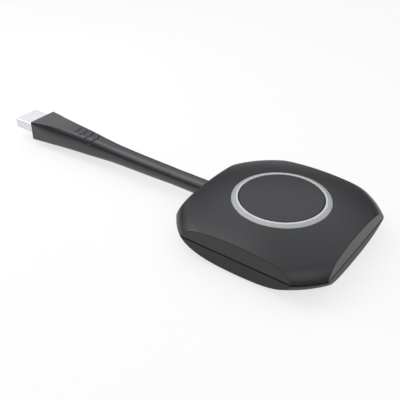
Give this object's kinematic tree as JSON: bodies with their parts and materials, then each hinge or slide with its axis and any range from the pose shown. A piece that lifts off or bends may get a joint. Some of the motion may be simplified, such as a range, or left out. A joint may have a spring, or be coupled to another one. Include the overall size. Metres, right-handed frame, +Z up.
{
  "type": "wireless presentation dongle",
  "caption": "Round-cornered puck with one large press button inside a light ring, on a short stiff cable that ends in a USB type A plug.",
  "frame": {"origin": "middle of the rubber foot's underside, on the surface that the puck stands on", "axes": "+Z up; -X along the cable towards the USB plug; +X towards the puck's side opposite the cable"},
  "size_m": [0.1705, 0.0622, 0.0176],
  "materials": {
    "shell_plastic": "fine moulded texture, satin",
    "cap_plastic": "fine moulded texture, satin",
    "ring_diffuser": "milky, satin",
    "foot_rubber": "matte, closed-cell",
    "boot_elastomer": "soft satin",
    "cable_jacket": "soft satin",
    "plated_steel": "bright nickel plate",
    "tongue_plastic": "moulded",
    "gold_contact": "gold flash",
    "mould_plastic": "moulded",
    "board_laminate": "solder mask",
    "chip_epoxy": "matte epoxy",
    "lamp_resin": "clear over phosphor",
    "chamber_plastic": "white, matte",
    "spreader_aluminium": "stamped sheet",
    "thermal_silicone": "soft pad",
    "shield_steel": "tinned",
    "antenna_steel": "tinned",
    "switch_plastic": "moulded",
    "switch_steel": "stamped",
    "screw_steel": "black zinc",
    "socket_plastic": "moulded nylon",
    "lead_insulation": "flat ribbon"
  },
  "bodies": {
    "housing": {"top_shell": "shell_plastic", "bottom_shell": "shell_plastic", "light_ring": "ring_diffuser", "rubber_foot": "foot_rubber", "case_screws": "screw_steel", "light_chamber": "chamber_plastic", "ring_lamps": "lamp_resin", "switch_body": "switch_plastic", "switch_cover": "switch_steel", "switch_spring": "switch_steel", "main_board": "board_laminate", "processor_chip": "chip_epoxy", "thermal_pad": "thermal_silicone", "heat_spreader": "spreader_aluminium", "memory_chips": "chip_epoxy", "clock_crystal": "shield_steel", "shield_can": "shield_steel", "radio_chip": "chip_epoxy", "antennas": "antenna_steel", "cable_anchor": "cable_jacket", "inner_leads": "lead_insulation", "lead_plug": "socket_plastic", "board_socket": "socket_plastic", "cable": "cable_jacket", "plug_boot": "boot_elastomer", "plug_inner_mould": "mould_plastic", "usb_shell": "plated_steel", "usb_tongue": "tongue_plastic", "usb_contacts": "gold_contact"},
    "button": {"button_cap": "cap_plastic"},
    "plunger": {"switch_plunger": "switch_plastic"}
  },
  "joints": [
    {"name": "button_press", "type": "slide", "parent": "housing", "child": "button", "axis": [0, 0, -1], "range_m": [0, 0.0006], "stiffness_N_per_m": 1500, "springref_m": -0.001, "deforming": ["switch_spring"]},
    {"name": "plunger_travel", "type": "slide", "parent": "housing", "child": "plunger", "axis": [0, 0, -1], "range_m": [0, 0.0006]}
  ],
  "couplings": [
    {"joint": "plunger_travel", "follows": "button_press", "ratio": 1}
  ]
}
